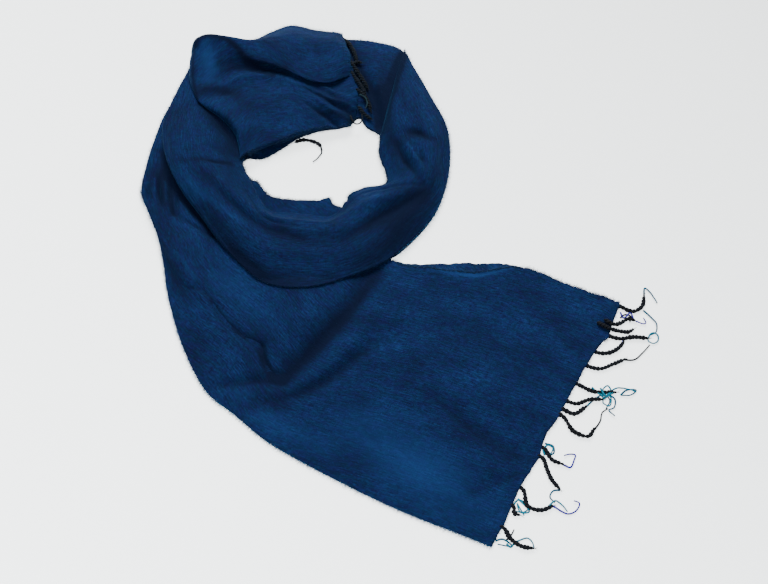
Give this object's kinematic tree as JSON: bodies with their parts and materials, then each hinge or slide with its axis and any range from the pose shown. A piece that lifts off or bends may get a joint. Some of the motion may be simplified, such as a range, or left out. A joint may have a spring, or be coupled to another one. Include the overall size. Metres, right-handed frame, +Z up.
{
  "type": "shawl",
  "caption": "Fringed woven shawl folded lengthwise, lying with one end straight and the rest wound into a loose ring.",
  "frame": {"origin": "the point of the supporting surface under the middle of the shawl's bounding box", "axes": "+Z up from the surface it lies on, +Y away from the viewer towards the ring, +X to the right towards the fringed end"},
  "size_m": [0.6407, 0.7318, 0.0447],
  "materials": {
    "cloth": "woven, brushed nap, navy with teal and blue yarns",
    "fringe": "twisted near-black wool strands with loose coloured thread ends"
  },
  "bodies": {
    "root": {"free_end": "cloth", "under_turn": "cloth", "over_turn": "cloth", "top_end": "cloth", "free_end_fringe": "fringe", "top_end_fringe": "fringe", "tucked_strand": "fringe"}
  },
  "joints": []
}
